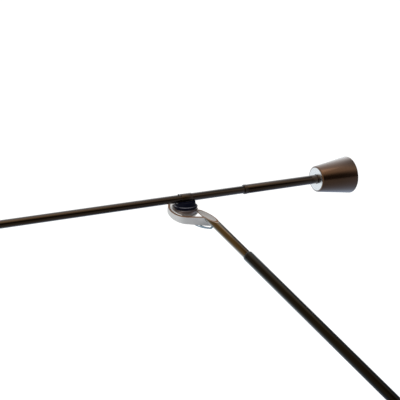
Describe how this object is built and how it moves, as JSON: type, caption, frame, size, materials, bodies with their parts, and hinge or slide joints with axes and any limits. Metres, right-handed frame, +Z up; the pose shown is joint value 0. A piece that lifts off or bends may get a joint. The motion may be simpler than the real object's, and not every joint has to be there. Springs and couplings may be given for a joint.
{
  "type": "counterweight balance desk lamp",
  "caption": "Low-voltage desk lamp with balanced arms, conical counterweights, a ball joint in an eye hook, a swivelling post on a weighted base and a small conical head.",
  "frame": {"origin": "centre of the base's underside, on the post's axis", "axes": "+Z up; the upper arm lies along X at rest, its weight towards +X and its head towards -X; the lower arm rises from the post towards -X +Y"},
  "size_m": [0.7221, 0.4288, 0.4545],
  "materials": {
    "black_rubber": "matt moulded rubber",
    "plate_steel": "zinc plated steel",
    "housing_metal": "fine satin black enamel",
    "winding": "taped winding",
    "bush_brass": "turned",
    "black_plastic": "gloss black moulding",
    "dark_chrome": "polished black nickel",
    "satin_nickel": "satin nickel",
    "dark_screw": "blackened steel",
    "seat_nylon": "natural nylon",
    "lead_sleeve": "clear blue-grey insulation",
    "shade_metal": "satin black anodised",
    "reflector_metal": "bright spun reflector",
    "ceramic": "steatite ceramic",
    "clear_glass": "clear tempered glass"
  },
  "bodies": {
    "base": {"base_pad": "black_rubber", "base_plate": "plate_steel", "base_housing": "housing_metal", "base_screws": "plate_steel", "transformer": "winding", "transformer_clamp": "plate_steel", "bearing_bush": "bush_brass", "cable_gland": "black_plastic", "dimmer_body": "black_plastic"},
    "dimmer": {"dimmer_knob": "black_plastic"},
    "post": {"post_tube": "dark_chrome", "post_collar": "dark_chrome", "post_nut": "plate_steel", "post_fork": "dark_chrome", "friction_washers": "black_plastic", "pivot_bolt": "dark_chrome", "pivot_cap": "dark_chrome"},
    "lower_arm": {"lower_hub": "dark_chrome", "lower_tube": "dark_chrome", "lower_bead": "dark_chrome", "tail_rod": "dark_chrome", "eye_hook": "satin_nickel", "ball_seat": "seat_nylon", "joint_lead": "lead_sleeve"},
    "lower_weight": {"lower_weight": "dark_chrome", "lower_weight_screw": "dark_screw"},
    "slip_cup": {"seat_cup": "seat_nylon"},
    "ball": {"half_ball": "dark_chrome"},
    "upper_arm": {"swivel_disc": "black_plastic", "saddle": "black_plastic", "ball_bolt": "dark_screw", "ball_spring": "plate_steel", "ball_nut": "plate_steel", "stop_pin": "black_plastic", "arm_tube": "dark_chrome", "rear_bead": "dark_chrome", "rear_sleeve": "dark_chrome", "rear_plug": "dark_chrome", "head_ferrule": "dark_chrome"},
    "upper_weight": {"upper_weight": "dark_chrome", "upper_weight_screw": "dark_screw"},
    "knuckle": {"head_knuckle": "dark_chrome", "head_pin": "dark_chrome"},
    "shade": {"shade": "shade_metal", "shade_neck": "shade_metal", "lamp_holder": "ceramic", "reflector": "reflector_metal", "front_glass": "clear_glass", "glass_ring": "shade_metal", "bulb": "clear_glass", "head_grip": "black_plastic"}
  },
  "joints": [
    {"name": "base_swivel", "type": "hinge", "parent": "base", "child": "post", "pos_m": [0, 0, 0.05], "axis": [0, 0, 1], "range_deg": [-170, 170]},
    {"name": "dimmer_turn", "type": "hinge", "parent": "base", "child": "dimmer", "pos_m": [-0.052, 0, 0.045], "axis": [0, 0, 1], "range_deg": [0, 270]},
    {"name": "lower_tilt", "type": "hinge", "parent": "post", "child": "lower_arm", "pos_m": [0, 0, 0.236], "axis": [0.8625, 0.506, 0], "range_deg": [-25, 18]},
    {"name": "lower_weight_trim", "type": "slide", "parent": "lower_arm", "child": "lower_weight", "axis": [0.4135, -0.7048, -0.5764], "range_m": [-0.02, 0.018]},
    {"name": "ball_roll", "type": "hinge", "parent": "lower_arm", "child": "slip_cup", "pos_m": [-0.14649, 0.2398, 0.42755], "axis": [1, 0, 0], "range_deg": [-2, 28]},
    {"name": "ball_pitch", "type": "hinge", "parent": "slip_cup", "child": "ball", "pos_m": [-0.14649, 0.2398, 0.42755], "axis": [0, 1, 0], "range_deg": [-18, 18]},
    {"name": "arm_swivel", "type": "hinge", "parent": "ball", "child": "upper_arm", "pos_m": [-0.14649, 0.2398, 0.42755], "axis": [0, 0, 1], "range_deg": [-160, 160]},
    {"name": "upper_weight_trim", "type": "slide", "parent": "upper_arm", "child": "upper_weight", "axis": [1, 0, 0], "range_m": [-0.04, 0]},
    {"name": "head_roll", "type": "hinge", "parent": "upper_arm", "child": "knuckle", "pos_m": [-0.55649, 0.2398, 0.43455], "axis": [1, 0, 0], "range_deg": [-90, 90]},
    {"name": "head_tilt", "type": "hinge", "parent": "knuckle", "child": "shade", "pos_m": [-0.55649, 0.2398, 0.43455], "axis": [0, 1, 0], "range_deg": [-25, 60]}
  ]
}
